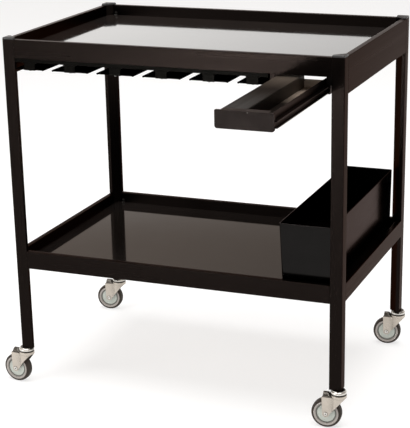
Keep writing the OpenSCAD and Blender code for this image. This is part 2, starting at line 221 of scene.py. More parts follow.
def screw_head(shape, centre, direction, radius, height):
    """Adds a pan head with a cross recess, standing on centre and facing along direction."""
    around = 24
    turn = Vector(direction).to_track_quat("Z", "Y").to_matrix().to_4x4()
    kept = shape.matrix
    shape.matrix = kept @ Matrix.Translation(centre) @ turn
    dome = [(1.0, 0), (1.0, 0.45), (0.86, 0.8), (0.62, 1.0)]
    rings = [[(x, y, height * h) for x, y in circle(radius * r, around)] for r, h in dome]
    for reach, waist, h in ((0.52, 0.16, 1.0), (0.4, 0.12, 0.5)):
        rings.append([(x, y, height * h) for x, y in star(radius * reach, radius * waist, around)])
    shape.skin(rings)
    shape.matrix = kept


# ------------------------------------------------------------------ materials


def shade(color, factor):
    """A colour made lighter or darker by a factor."""
    return tuple(factor * c for c in color)


class Finish:
    """A Principled material with a short way to add procedural nodes."""

    def __init__(self, name, color, roughness, metallic=0.0, specular=0.5):
        self.material = bpy.data.materials.new(name)
        self.material.use_nodes = True
        self.tree = self.material.node_tree
        self.shader = self.tree.nodes["Principled BSDF"]
        self.color = color
        self.shader.inputs["Base Color"].default_value = (*color, 1)
        self.shader.inputs["Roughness"].default_value = roughness
        self.shader.inputs["Metallic"].default_value = metallic
        self.shader.inputs["Specular IOR Level"].default_value = specular
        self.place = self.node("ShaderNodeTexCoord").outputs["Object"]

    def node(self, kind, **values):
        made = self.tree.nodes.new(kind)
        for key, value in values.items():
            setattr(made, key, value)
        return made

    def link(self, a, b):
        self.tree.links.new(a, b)

    def noise(self, scale, stretch=(1, 1, 1), detail=3.0, roughness=0.55):
        """Noise over the object, scale features to the metre, finer along the larger stretch values."""
        mapping = self.node("ShaderNodeMapping")
        mapping.inputs["Scale"].default_value = stretch
        texture = self.node("ShaderNodeTexNoise")
        texture.inputs["Scale"].default_value = scale
        texture.inputs["Detail"].default_value = detail
        texture.inputs["Roughness"].default_value = roughness
        self.link(self.place, mapping.inputs["Vector"])
        self.link(mapping.outputs["Vector"], texture.inputs["Vector"])
        return texture.outputs["Fac"]

    def spread(self, value, low, high, start=0.3, stop=0.7):
        """Maps a value that runs from start to stop, as noise mostly does, to the range from low to high."""
        node = self.node("ShaderNodeMapRange")
        for name, number in (("From Min", start), ("From Max", stop), ("To Min", low), ("To Max", high)):
            node.inputs[name].default_value = number
        self.link(value, node.inputs["Value"])
        return node.outputs["Result"]

    def multiply(self, a, b):
        node = self.node("ShaderNodeMath", operation="MULTIPLY")
        self.link(a, node.inputs[0])
        self.link(b, node.inputs[1])
        return node.outputs["Value"]

    def tint(self, value, other):
        """Varies the base colour between the finish's own colour and another."""
        mix = self.node("ShaderNodeMix", data_type="RGBA")
        mix.inputs["A"].default_value = (*self.color, 1)
        mix.inputs["B"].default_value = (*other, 1)
        source = self.shader.inputs["Base Color"].links
        if source:
            self.link(source[0].from_socket, mix.inputs["A"])
        self.link(value, mix.inputs["Factor"])
        self.link(mix.outputs["Result"], self.shader.inputs["Base Color"])

    def rough(self, value, low, high):
        self.link(self.spread(value, low, high), self.shader.inputs["Roughness"])

    def bump(self, value, depth, strength):
        """Shades the surface as if it stood depth metres higher where value is 1."""
        node = self.node("ShaderNodeBump")
        node.inputs["Strength"].default_value = strength
        node.inputs["Distance"].default_value = depth
        self.link(value, node.inputs["Height"])
        earlier = self.shader.inputs["Normal"].links
        if earlier:
            self.link(earlier[0].from_socket, node.inputs["Normal"])
        self.link(node.outputs["Normal"], self.shader.inputs["Normal"])

    def paint_hollow_shade(self, distance, color, amount):
        """Painted shade: darkens the base colour in creases and where something stands close over it."""
        open_sky = self.node("ShaderNodeAmbientOcclusion", samples=6)
        open_sky.inputs["Distance"].default_value = distance
        self.tint(self.spread(open_sky.outputs["AO"], amount, 0.0, start=0.83, stop=1.0), color)

    def upward(self):
        """How far the surface faces up: 1 on a top face, -1 on an underside."""
        parts = self.node("ShaderNodeSeparateXYZ")
        self.link(self.node("ShaderNodeNewGeometry").outputs["Normal"], parts.inputs["Vector"])
        return parts.outputs["Z"]

    def shade_tops(self, color, amount):
        """Painted shade: darkens the faces that look upwards, such as a fork's crown in the shadow of its leg."""
        self.tint(self.spread(self.upward(), 0.0, amount, start=0.2, stop=0.6), color)

    def edge_wear(self, radius, color, amount):
        """Lightens the surface where it turns sharply, broken up by noise."""
        bevel = self.node("ShaderNodeBevel", samples=4)
        bevel.inputs["Radius"].default_value = radius
        plain = self.node("ShaderNodeNewGeometry")
        dot = self.node("ShaderNodeVectorMath", operation="DOT_PRODUCT")
        self.link(bevel.outputs["Normal"], dot.inputs[0])
        self.link(plain.outputs["Normal"], dot.inputs[1])
        edge = self.spread(dot.outputs["Value"], amount, 0.0, start=0.86, stop=0.995)
        broken = self.spread(self.noise(120, detail=3), 0.4, 1.0, start=0.35, stop=0.65)
        self.tint(self.multiply(edge, broken), color)


GRAIN = {"X": (0.03, 1, 1), "Y": (1, 0.03, 1), "Z": (1, 1, 0.03)}


def extruded_metal(name, color, roughness, axis, grazing=0.64, wear=0.25, warm=1.0):
    """Satin anodised aluminium with faint draw lines along an axis.

    grazing is how much it reflects at a low angle, warm how brown that reflection is, and wear how bright the
    edges are.
    """
    finish = Finish(name, color, roughness, metallic=1.0)
    low_angle = (grazing, (1 - 0.08 * warm) * grazing, (1 - 0.11 * warm) * grazing, 1)
    finish.shader.inputs["Specular Tint"].default_value = low_angle
    lines = finish.noise(700, GRAIN[axis], detail=2)
    broad = finish.noise(6, GRAIN[axis], detail=2)
    finish.tint(finish.spread(lines, 0.0, 0.3), shade(color, 1.25))
    finish.tint(finish.spread(broad, 0.0, 0.3), shade(color, 0.8))
    finish.rough(finish.noise(30, GRAIN[axis], detail=3), roughness - 0.03, roughness + 0.04)
    finish.bump(lines, 0.01 * MM, 0.15)
    finish.edge_wear(0.9 * MM, shade(color, 3), wear)
    return finish.material


def moulded_plastic(name, color, roughness, grain=700, depth=0.03 * MM, specular=0.45):
    """Moulded plastic or rubber with a fine spark-eroded grain."""
    finish = Finish(name, color, roughness, specular=specular)
    finish.tint(finish.spread(finish.noise(25, detail=4), 0.0, 0.5), shade(color, 1.5))
    finish.rough(finish.noise(60), roughness - 0.06, roughness + 0.08)
    finish.bump(finish.noise(grain, detail=2), depth, 0.4)
    return finish.material


def plated_metal(name, color, roughness, mottle, depth=0.01 * MM, shade_tops=0.0):
    """Zinc plating with a cloudy, faintly spangled surface, with painted shade in its corners and, if asked, on
    the faces that look up.
    """
    tarnish = (0.42, 0.36, 0.27)
    finish = Finish(name, color, roughness, metallic=1.0)
    finish.tint(finish.spread(finish.noise(mottle, detail=4), 0.0, 0.3), shade(color, 0.75))
    finish.tint(finish.spread(finish.noise(mottle * 5, detail=2), 0.0, 0.12), tarnish)
    finish.rough(finish.noise(mottle * 2, detail=4), roughness - 0.05, roughness + 0.08)
    finish.bump(finish.noise(mottle * 4, detail=2), depth, 0.12)
    # Painted shade in creases and close under other parts.
    finish.paint_hollow_shade(18 * MM, shade(color, 0.12), 0.95)
    # Painted shade on the faces that look up, when asked for.
    if shade_tops:
        finish.shade_tops(shade(color, 0.15), shade_tops)
    return finish.material


def gloss_panel():
    """Near-black polished laminate with wipe marks and a slight ripple, and a pale unfinished backing."""
    cloud = (0.017, 0.013, 0.011)
    backing = (0.42, 0.37, 0.32)
    finish = Finish("panel_gloss", (0.010, 0.0085, 0.008), 0.05, specular=0.5)
    finish.tint(finish.spread(finish.noise(5, detail=5), 0.0, 0.6), cloud)
    finish.tint(finish.spread(finish.upward(), 1.0, 0.0, start=-0.95, stop=-0.6), backing)
    wipes = finish.noise(60, (0.15, 1, 1), detail=6, roughness=0.7)
    finish.rough(wipes, 0.035, 0.085)
    finish.bump(finish.noise(14, detail=1), 0.05 * MM, 0.2)
    return finish.material


def satin_box():
    """Black powder-coated sheet with a satin face."""
    color = (0.0112, 0.0106, 0.0102)
    finish = Finish("box_black", color, 0.15, metallic=1.0)
    finish.shader.inputs["Specular Tint"].default_value = (0.505, 0.465, 0.455, 1)
    finish.tint(finish.spread(finish.noise(18, detail=5), 0.0, 0.4), shade(color, 1.3))
    finish.rough(finish.noise(30, (1, 0.2, 1), detail=5), 0.12, 0.18)
    finish.bump(finish.noise(400, detail=2), 0.015 * MM, 0.1)
    return finish.material


def satin_paint(name, color, roughness):
    """Baked enamel on thin sheet, with a soft sheen and a faint brushed grain along Y under it."""
    finish = Finish(name, color, roughness, specular=0.3)
    lines = finish.noise(500, GRAIN["Y"], detail=2)
    finish.tint(finish.spread(lines, 0.0, 0.4), shade(color, 1.4))
    finish.tint(finish.spread(finish.noise(12, detail=4), 0.0, 0.3), shade(color, 0.7))
    finish.rough(finish.noise(40, GRAIN["Y"], detail=3), roughness - 0.05, roughness + 0.06)
    finish.bump(lines, 0.01 * MM, 0.15)
    return finish.material


def drawer_paint_lit_at_back(name, rear_light):
    """The drawer's inside: thin dark paint, lightened towards the back by painted light to a warm colour as bright
    as the second argument says.
    """
    finish = Finish(name, (0.0062, 0.0045, 0.0035), 0.4, specular=0.05)
    parts = finish.node("ShaderNodeSeparateXYZ")
    finish.link(finish.place, parts.inputs["Vector"])
    low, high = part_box("drawer_tray")
    # Painted light: the back of the drawer's inside is brightened as if lit, in patches.
    light_starts = low[1] + 0.55 * (high[1] - low[1])
    rear_lit = finish.spread(parts.outputs["Y"], 0.0, 1.0, start=light_starts, stop=high[1])
    patchy = finish.spread(finish.noise(26, (1, 0.3, 1), detail=5), 0.7, 1.0)
    finish.tint(finish.multiply(rear_lit, patchy), (rear_light, 0.79 * rear_light, 0.62 * rear_light))
    lines = finish.noise(500, GRAIN["Y"], detail=2)
    finish.rough(finish.noise(40, GRAIN["Y"], detail=3), 0.36, 0.46)
    finish.bump(lines, 0.01 * MM, 0.15)
    return finish.material


BRONZE = (0.0094, 0.0070, 0.0061)
BLACK = (0.0036, 0.0034, 0.0030)
FRAME = {axis: extruded_metal("frame_" + axis, BRONZE, 0.29, axis, grazing=0.49) for axis in "XYZ"}
RACK = {axis: extruded_metal("rack_" + axis, BLACK, 0.36, axis, grazing=0.4, warm=0.2) for axis in "XY"}
# Painted shade: the rack rails' flanges get a blacker, less reflective copy of the rack's finish, as dark as in
# shadow.
SHADED_LIP = extruded_metal("rack_lip", (0.0010, 0.0009, 0.0009), 0.4, "Y", grazing=0.2, wear=0.1, warm=0.2)
DRAWER = extruded_metal("drawer_bronze", (0.0106, 0.0085, 0.0078), 0.34, "Y", grazing=0.6)
# The shelf, the lining and the left slide get painted light towards the back of the drawer.
SHELF = drawer_paint_lit_at_back("drawer_shelf_paint", 0.09)
LINING = drawer_paint_lit_at_back("drawer_lining_paint", 0.34)
TROUGH_END = satin_paint("drawer_end", (0.42, 0.35, 0.29), 0.34)
RUNNER = extruded_metal("runner_steel", (0.010, 0.0085, 0.008), 0.35, "Y")
CAP = moulded_plastic("black_plastic", (0.012, 0.011, 0.011), 0.42)
PANEL = gloss_panel()
BOX = satin_box()
MAT = moulded_plastic("mat_rubber", (0.008, 0.008, 0.008), 0.8, grain=300, depth=0.2 * MM)
ZINC = plated_metal("zinc", (0.70, 0.68, 0.64), 0.26, 40)
CLIP = plated_metal("clip_zinc", (0.22, 0.21, 0.20), 0.4, 60)
# The fork also gets painted shade on its upward faces, as under its leg.
FORK = plated_metal("fork_zinc", (0.54, 0.49, 0.43), 0.3, 30, shade_tops=0.95)
HUB = moulded_plastic("hub_plastic", (0.42, 0.45, 0.41), 0.42, grain=250)
# Painted shade: the tyre's recessed ring between hub and band is a darker grey than both, for the shade in the
# groove.
SHADED_GROOVE = moulded_plastic("tyre_groove", (0.15, 0.152, 0.138), 0.55, grain=250)
TYRE = moulded_plastic(
    "tyre_rubber", (0.028, 0.021, 0.016), 0.6, grain=350, depth=0.05 * MM, specular=0.25
)
BAND = moulded_plastic("tyre_band", (0.31, 0.285, 0.265), 0.5, grain=300, depth=0.04 * MM)


# ------------------------------------------------------------------ frame


def leg_outline(grow, steps=3):
    """A leg's section with its outer corner at the origin and its inner corner cut, grown all round."""
    near = -grow
    far = LEG_SIZE + grow
    land = LEG_LAND + 0.414 * grow
    soft = 1.6 * MM
    corners = [(near, near), (far, near), (far, land), (land, far), (near, far)]
    return rounded([(u, v, soft) for u, v in corners], steps)


def make_legs():
    for i, corner in enumerate(CORNERS):
        low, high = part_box("leg_" + corner)
        shape = Shape(corner_matrix(i))
        shape.pipe(leg_outline(0), leg_outline(-LEG_WALL), "Z", low[2], high[2])
        name = "leg_tube_" + corner
        piece(name, shape, "frame", FRAME["Z"], ["leg_" + corner], bevel=0.3 * MM)


def make_caps():
    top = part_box("leg_caps")[1][2]
    shape = Shape()
    profile = in_mm([(-0.2, -6), (-0.2, -2.2), (-0.5, -1.3), (-1.2, -0.5), (-2.2, 0)])
    for i in range(4):
        shape.matrix = corner_matrix(i)
        shape.skin([[(u, v, top + z) for u, v in leg_outline(grow, 4)] for grow, z in profile])
    piece("leg_cap_set", shape, "frame", CAP, ["leg_caps"], crease=50)


def rail_outline(height, ledge_top):
    """A rail's section: u inwards from its outer face, v up from its lower edge, and the panel's ledge."""
    thick = RAIL_THICKNESS
    reach = thick + 10 * MM
    ledge_low = ledge_top - 3 * MM
    top = 1.6 * MM
    small = 0.7 * MM
    fillet = 1.2 * MM
    return rounded(
        [
            (0, 0, small),
            (thick, 0, small),
            (thick, ledge_low, fillet),
            (reach, ledge_low, small),
            (reach, ledge_top, small),
            (thick, ledge_top, fillet),
            (thick, height, top),
            (0, height, top),
        ]
    )


def make_rails():
    """Four rails a tray, each drawn along X as a front rail and turned about the middle."""
    sides = {"front": (0, HALF_DEPTH, "X"), "rear": (180, HALF_DEPTH, "X")}
    sides.update({"left": (-90, HALF_WIDTH, "Y"), "right": (90, HALF_WIDTH, "Y")})
    for tier, panel_top in (("upper", PANEL_TOP), ("lower", SHELF_TOP)):
        ledge_top = panel_top - PANEL_THICKNESS
        for side, (angle, distance, axis) in sides.items():
            node = f"{tier}_{side}_rail"
            low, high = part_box(node)
            half = high[0] if axis == "X" else high[1]
            turn = Matrix.Rotation(math.radians(angle), 4, "Z")
            shape = Shape(turn @ Matrix.Translation((0, -distance, low[2])))
            shape.prism(rail_outline(high[2] - low[2], ledge_top - low[2]), "X", -half, half)
            piece(f"{tier}_rail_{side}", shape, "frame", FRAME[axis], [node], bevel=0.3 * MM)


def make_corner_plates():
    """A flat plate across each corner of both trays, screwed up into the ledges from below."""
    shape = Shape()
    screws = Shape()
    thick = 2.5 * MM
    below_panel = PANEL_THICKNESS + 3 * MM
    near = RAIL_THICKNESS + 0.2 * MM
    far = LEG_SIZE + 26 * MM
    inner = LEG_SIZE + 1 * MM
    arm = near + 9 * MM
    small = 1 * MM
    outer = 2 * MM
    outline = rounded(
        [
            (near, inner, small),
            (inner, near, small),
            (far, near, small),
            (far, arm, outer),
            (arm, far, outer),
            (near, far, small),
        ]
    )
    screw_along = LEG_SIZE + 20 * MM
    screw_in = near + 4.3 * MM
    for panel_top in (PANEL_TOP, SHELF_TOP):
        top = panel_top - below_panel
        for i in range(4):
            shape.matrix = corner_matrix(i)
            shape.prism(outline, "Z", top - thick, top)
            screws.matrix = corner_matrix(i)
            for u, v in ((screw_along, screw_in), (screw_in, screw_along)):
                screw_head(screws, (u, v, top - thick), -UP, 3.5 * MM, 2 * MM)
    piece("corner_gussets", shape, "frame", ZINC, ["corner_plates"], bevel=0.4 * MM)
    piece("corner_gusset_screws", screws, "frame", ZINC, ["corner_screws"], crease=40)


def make_panel_clips():
    """A small screwed bracket on each panel, against the rear rail beside the left leg."""
    shape = Shape()
    screws = Shape()
    left = -HALF_WIDTH + LEG_SIZE + 2 * MM
    wide = 8 * MM
    tall = 9 * MM
    deep = 7 * MM
    sheet = 1.5 * MM
    back = HALF_DEPTH - RAIL_THICKNESS - 0.2 * MM
    for panel_top in (PANEL_TOP, SHELF_TOP):
        foot = panel_top + 0.1 * MM
        outline = [
            (back, foot, 0.3 * MM),
            (back, foot + tall, 0.5 * MM),
            (back - sheet, foot + tall, 0.5 * MM),
            (back - sheet, foot + sheet, 0.8 * MM),
            (back - deep, foot + sheet, 0.5 * MM),
            (back - deep, foot, 0.3 * MM),
        ]
        shape.prism(rounded(outline), "X", left, left + wide)
        centre = (left + wide / 2, back - sheet, foot + 5.6 * MM)
        screw_head(screws, centre, (0, -1, 0), 2.2 * MM, 1.1 * MM)
    piece("panel_clips", shape, "frame", CLIP, bevel=0.2 * MM)
    piece("panel_clip_screws", screws, "frame", CLIP, crease=40)


# ------------------------------------------------------------------ glass rack


RACK_RAILS = range(1, 7)
WEB_HALF = 15 * MM


def make_rack():
    """Two cross bars and six inverted-T rails, each a web with a lip on either side."""
    for end in ("front", "rear"):
        node = f"rack_{end}_bar"
        low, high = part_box(node)
        shape = Shape()
        shape.prism(rectangle((low[1], low[2]), (high[1], high[2]), 0.8 * MM), "X", low[0], high[0])
        piece(f"rack_bar_{end}", shape, "frame", RACK["X"], [node], bevel=0.3 * MM)
    screws = Shape()
    screw_y = HALF_DEPTH - 8 * MM
    for n in RACK_RAILS:
        node = f"rack_rail_{n}"
        low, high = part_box(node)
        middle = (low[0] + high[0]) / 2
        web = Shape()
        web.prism(web_outline(middle, low[2], high[2]), "Y", low[1], high[1])
        piece(f"rack_web_{n}", web, "frame", RACK["Y"], [node], bevel=0.25 * MM)
        for side, edge in (("left", low[0]), ("right", high[0])):
            lip = Shape()
            lip.prism(lip_outline(middle, edge, low[2]), "Y", low[1], high[1])
            piece(f"rack_lip_{n}_{side}", lip, "frame", SHADED_LIP, [node], bevel=0.2 * MM)
        for y in (-screw_y, screw_y):
            screw_head(screws, (middle, y, low[2]), -UP, 3.5 * MM, 1.8 * MM)
    piece("rack_rail_screws", screws, "frame", ZINC, ["rack_screws"], crease=40)


def web_outline(middle, bottom, top):
    """The box in the middle of a rack rail, which widens in a curve where it meets the cross bars."""
    flare = 5 * MM
    steps = 6
    outline = [(middle - WEB_HALF, bottom), (middle + WEB_HALF, bottom)]
    for k in range(steps + 1):
        angle = math.pi / 2 * k / steps
        spread = WEB_HALF + flare * (1 - math.cos(angle))
        outline.append((middle + spread, top - flare + flare * math.sin(angle)))
    return outline + [(2 * middle - u, v) for u, v in reversed(outline[2:])]


def lip_outline(middle, edge, bottom):
    """A rack rail's thin flange, from the web out to the round bead along its edge."""
    bead = 2.4 * MM
    flange = 1.3 * MM
    steps = 14
    out = math.copysign(1, edge - middle)
    centre = edge - out * bead
    root = middle + out * (WEB_HALF - 0.5 * MM)
    level = bottom + bead
    gap = math.asin(flange / bead)
    outline = [(root, level + flange)]
    for k in range(steps + 1):
        angle = math.pi - gap - (2 * math.pi - 2 * gap) * k / steps
        outline.append((centre + out * bead * math.cos(angle), level + bead * math.sin(angle)))
    return outline + [(root, level - flange)]


# ------------------------------------------------------------------ drawer and its runners


SLIDE_DEPTH = 10.5 * MM
RUNNER_WALL = 2 * MM
RUNNER_HEIGHT = 22 * MM
TRAY_WALL = 2 * MM


def folded(points, radius=0.8 * MM):
    """The outline of bent sheet metal, with the same small radius at each corner."""
    return rounded([(u, v, radius) for u, v in points], 2)


def make_runners():
    """Two fixed channels that face each other. What is in front of the upper front rail stays below it."""
    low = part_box("runner_left")[0][2]
    rail_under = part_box("upper_front_rail")[0][2] - 0.5 * MM
    make_left_runner(low, rail_under)
    make_right_runner(low, rail_under)


def make_left_runner(z, rail_under):
    low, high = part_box("runner_left")
    wall = RUNNER_WALL
    top = z + RUNNER_HEIGHT
    right = high[0]
    back = right - SLIDE_DEPTH
    channel = [
        (back - wall, z),
        (right, z),
        (right, z + wall),
        (back + wall, z + wall),
        (back + wall, top - wall),
        (right, top - wall),
        (right, top),
        (back, top),
    ]
    hanger = [(back, high[2]), (low[0], high[2]), (low[0], high[2] - wall), (back - wall, high[2] - wall)]
    short = [(back, rail_under), (back - wall, rail_under)]
    rail_behind = low[1] + 27.5 * MM
    shape = Shape()
    shape.prism(folded(channel + hanger), "Y", rail_behind, high[1])
    shape.prism(folded(channel + short), "Y", low[1] + 1.5 * MM, rail_behind)
    piece("runner_channel_left", shape, "frame", RUNNER, ["runner_left"], bevel=0.25 * MM)

    left = back - 4 * MM
    foot = z + 7 * MM
    knee = z + 21 * MM
    flange = [
        (left, foot),
        (back + 1 * MM, foot),
        (back + 1 * MM, knee),
        (back + 9 * MM, knee),
        (back + 9 * MM, rail_under),
        (left, rail_under),
    ]
    front = Shape()
    front.prism(folded(flange, 0.5 * MM), "Y", low[1], low[1] + wall)
    name = "runner_front_flange"
    piece(name, front, "frame", FRAME["Z"], ["runner_left"], bevel=0.25 * MM)


def make_right_runner(z, rail_under):
    low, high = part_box("runner_right")
    wall = RUNNER_WALL
    top = z + RUNNER_HEIGHT
    left = low[0]
    back = left + SLIDE_DEPTH
    channel = [
        (back, z),
        (back, top),
        (left, top),
        (left, top - wall),
        (back - wall, top - wall),
        (back - wall, z + wall),
        (left, z + wall),
        (left, z),
    ]
    shape = Shape()
    shape.prism(folded(channel), "Y", low[1], high[1])
    flange = rectangle((back - 9 * MM, z + 21 * MM), (back + 4 * MM, rail_under), 0.5 * MM)
    shape.prism(flange, "Y", low[1], low[1] + wall)
    block = rectangle((back, z + wall), (high[0], top - 3 * MM), 1 * MM)
    block_length = 34 * MM
    first_block = 87.5 * MM
    last_block = high[1] - low[1] - 60 * MM
    for y in (first_block, last_block):
        shape.prism(block, "Y", low[1] + y, low[1] + y + block_length)
    piece("runner_channel_right", shape, "frame", RUNNER, ["runner_right"], bevel=0.25 * MM)


def make_trough():
    """The tray, open at the top, with a painted lining on its floor and a low end wall."""
    (x1, y1, z1), (x2, y2, z2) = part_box("drawer_tray")
    wall = TRAY_WALL
    edge = 0.8 * MM
    outer = 3 * MM
    inner = 1.5 * MM
    section = rounded(
        [
            (x1, z1, outer),
            (x2, z1, outer),
            (x2, z2, edge),
            (x2 - wall, z2, edge),
            (x2 - wall, z1 + wall, inner),
            (x1 + wall, z1 + wall, inner),
            (x1 + wall, z2, edge),
            (x1, z2, edge),
        ]
    )
    trough = Shape()
    trough.prism(section, "Y", y1, y2)
    piece("drawer_trough", trough, "drawer", DRAWER, ["drawer_tray"], bevel=0.25 * MM)

    inset = 3.2 * MM
    thick = 0.4 * MM
    gap = 0.5 * MM
    section = rectangle((x1 + inset, z1 + wall), (x2 - inset, z1 + wall + thick), 0.15 * MM)
    lining = Shape()
    lining.prism(section, "Y", y1 + gap, y2 - wall - gap)
    piece("drawer_lining", lining, "drawer", LINING, ["drawer_tray"])

    end = Shape()
    end.prism(rectangle((x1 + wall, z1 + wall), (x2 - wall, z1 + 22.5 * MM), edge), "Y", y2 - wall, y2)
    piece("drawer_end", end, "drawer", TROUGH_END, ["drawer_tray"], bevel=0.25 * MM)


def make_drawer_shelf():
    """A folded sheet that covers the tray's left part, level with its top."""
    tray_low, tray_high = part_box("drawer_tray")
    low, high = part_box("drawer_shelf_plate")
    sheet = 1.5 * MM
    x1, x2 = tray_low[0] + 0.3 * MM, high[0]
    z1, z2 = low[2], tray_high[2] + 0.6 * MM
    fold = [
        (x1, z2 - sheet, 0.4 * MM),
        (x2 - sheet, z2 - sheet, 0.8 * MM),
        (x2 - sheet, z1, 0.4 * MM),
        (x2, z1, 0.4 * MM),
        (x2, z2, 2.2 * MM),
        (x1, z2, 0.4 * MM),
    ]
    shape = Shape()
    shape.prism(rounded(fold, 4), "Y", low[1], high[1])
    piece("drawer_shelf", shape, "drawer", SHELF, ["drawer_shelf_plate"], bevel=0.2 * MM)


def make_drawer_front():
    """The face, with a pull lip that runs back along its top, and a small pin."""
    low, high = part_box("drawer_front")
    thick = 6 * MM
    bottom = 6 * MM
    top = 2.4 * MM
    face = [(low[0], low[2], bottom), (high[0], low[2], bottom)]
    face += [(high[0], high[2], top), (low[0], high[2], top)]
    plate = Shape()
    plate.prism(rounded(face, 5), "Y", low[1], low[1] + thick)
    root = low[1] + thick - 0.2 * MM
    lip_low = high[2] - 3 * MM
    lip_top = high[2] - 0.15 * MM
    sharp = 0.2 * MM
    soft = 1 * MM
    lip = [(root, lip_low, sharp), (high[1], lip_low, soft), (high[1], lip_top, soft), (root, lip_top, sharp)]
    inset = 14 * MM
    plate.prism(rounded(lip), "X", low[0] + inset, high[0] - inset)
    piece("drawer_face", plate, "drawer", DRAWER, ["drawer_front"], bevel=0.5 * MM)

    beside_middle = 7.5 * MM
    below_top = 2.6 * MM
    centre = ((low[0] + high[0]) / 2 + beside_middle, low[1], high[2] - below_top)
    pin = Shape(Matrix.Translation(centre) @ Matrix.Rotation(math.pi / 2, 4, "X"))
    pin.lathe(in_mm([(1.3, -0.6), (1.3, 0.25), (0.9, 0.5)]), 16)
    piece("drawer_face_pin", pin, "drawer", CLIP)


def make_drawer_slides():
    """A channel on each side of the tray, and the screws that hold it from inside."""
    low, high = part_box("drawer_slides")
    tray_low, tray_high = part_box("drawer_tray")
    lip = 3 * MM
    web = 4 * MM
    z1, z2 = low[2], high[2]
    sides = (("right", tray_high[0], high[0], RUNNER), ("left", tray_low[0], low[0], SHELF))
    for side, back, edge, paint in sides:
        shape = Shape()
        inner = back + math.copysign(web, edge - back)
        channel = [(back, z1), (edge, z1), (edge, z1 + lip), (inner, z1 + lip)]
        channel += [(inner, z2 - lip), (edge, z2 - lip), (edge, z2), (back, z2)]
        shape.prism(folded(channel), "Y", low[1], high[1])
        name = "drawer_slide_" + side
        piece(name, shape, "drawer", paint, ["drawer_slides"], bevel=0.25 * MM)
    screws = Shape()
    middle = (z1 + z2) / 2
    from_end = 60 * MM
    for y in (from_end, tray_high[1] - tray_low[1] - from_end):
        right = (tray_high[0] - TRAY_WALL, tray_low[1] + y, middle)
        left = (tray_low[0] + TRAY_WALL, tray_low[1] + y, middle - 2 * MM)
        screw_head(screws, right, (-1, 0, 0), 3 * MM, 1.5 * MM)
        screw_head(screws, left, (1, 0, 0), 3 * MM, 1.5 * MM)
    piece("drawer_slide_screws", screws, "drawer", ZINC, ["drawer_screws"], crease=40)


def make_drawer():
    make_trough()
    make_drawer_shelf()
    make_drawer_front()
    make_drawer_slides()


# ------------------------------------------------------------------ bottle box


def make_bottle_box():
    """The open box, which widens upwards, with a mat inside it and four feet under it."""
    low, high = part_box("bottle_box")
    draft = 6 * MM
    right_draft = 1 * MM
    wall = 2.5 * MM
    height = high[2] - low[2]

    def loop(z, inset):
        """The box's rounded outline at a height above its base, moved in by a distance."""
        depth = 1 - z / height
        side = draft * depth + inset
        right = right_draft * depth + inset
        corner = max(6 * MM - inset, 1.5 * MM)
        outline = rectangle((low[0] + side, low[1] + side), (high[0] - right, high[1] - side), corner, 5)
        return [(x, y, low[2] + z) for x, y in outline]

    outside = [loop(z, inset) for z, inset in in_mm([(0, 2.0), (0.6, 0.7), (2.0, 0)])]
    rim = [loop(height - 0.9 * MM, 0), loop(height - 0.25 * MM, 0.25 * MM), loop(height, 0.9 * MM)]
    rim += [loop(height, wall - 0.7 * MM), loop(height - 0.6 * MM, wall)]
    inside = [loop(wall + 3 * MM, wall), loop(wall + 0.8 * MM, wall + 0.8 * MM), loop(wall, wall + 3 * MM)]
    shape = Shape()
    shape.skin(outside + rim + inside)
    bin_body = piece("bottle_bin", shape, "bottle_box", BOX, ["bottle_box"], crease=40)
    flatten = bin_body.modifiers.new("flat_sides", "WEIGHTED_NORMAL")
    flatten.keep_sharp = True
    flatten.weight = 100

    low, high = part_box("box_mat")
    shape = Shape()
    shape.prism(rectangle((low[0], low[1]), (high[0], high[1]), 4 * MM), "Z", low[2], high[2])
    piece("bottle_bin_mat", shape, "bottle_box", MAT, ["box_mat"], bevel=0.5 * MM)

    low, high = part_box("box_feet")
    shape = Shape()
    radius = 7 * MM
    for x in (low[0] + radius, high[0] - radius):
        for y in (low[1] + radius, high[1] - radius):
            shape.matrix = Matrix.Translation((x, y, low[2]))
            top = high[2] - low[2]
            shape.lathe([(radius - 0.6 * MM, 0), (radius, 0.6 * MM), (radius, top)], 32)
    piece("bottle_bin_feet", shape, "bottle_box", MAT, ["box_feet"], crease=40)


# ------------------------------------------------------------------ castors

WHEEL_RADIUS = 39 * MM
TRAIL = 30 * MM
CHEEK_HALF = 15.1 * MM
FORK_SHEET = 2.4 * MM
FORK_ROUND = 9.2 * MM
FORK_BOTTOM = WHEEL_RADIUS - FORK_ROUND
CROWN_TOP = 87 * MM
CROWN_EDGE = CROWN_TOP - 1 * MM
HOOD = 8.5 * MM
HOOD_START = 18 * MM
HOOD_RUN = 7 * MM
CUP_RADIUS = 20.4 * MM
CREASE = -math.sqrt(CUP_RADIUS**2 - CHEEK_HALF**2)
CUP_LENGTH = CUP_RADIUS * math.acos(CREASE / CUP_RADIUS)


def castor_matrix(tag):
    """The castor's own frame: origin on the floor under its stem, with the wheel trailing towards -X."""
    stem = Vector(joints[f"castor_{tag}_swivel"]["pos_m"])
    axle = Vector(joints[f"wheel_{tag}_roll"]["pos_m"])
    angle = math.atan2(stem.y - axle.y, stem.x - axle.x)
    return Matrix.Translation((stem.x, stem.y, 0)) @ Matrix.Rotation(angle, 4, "Z")


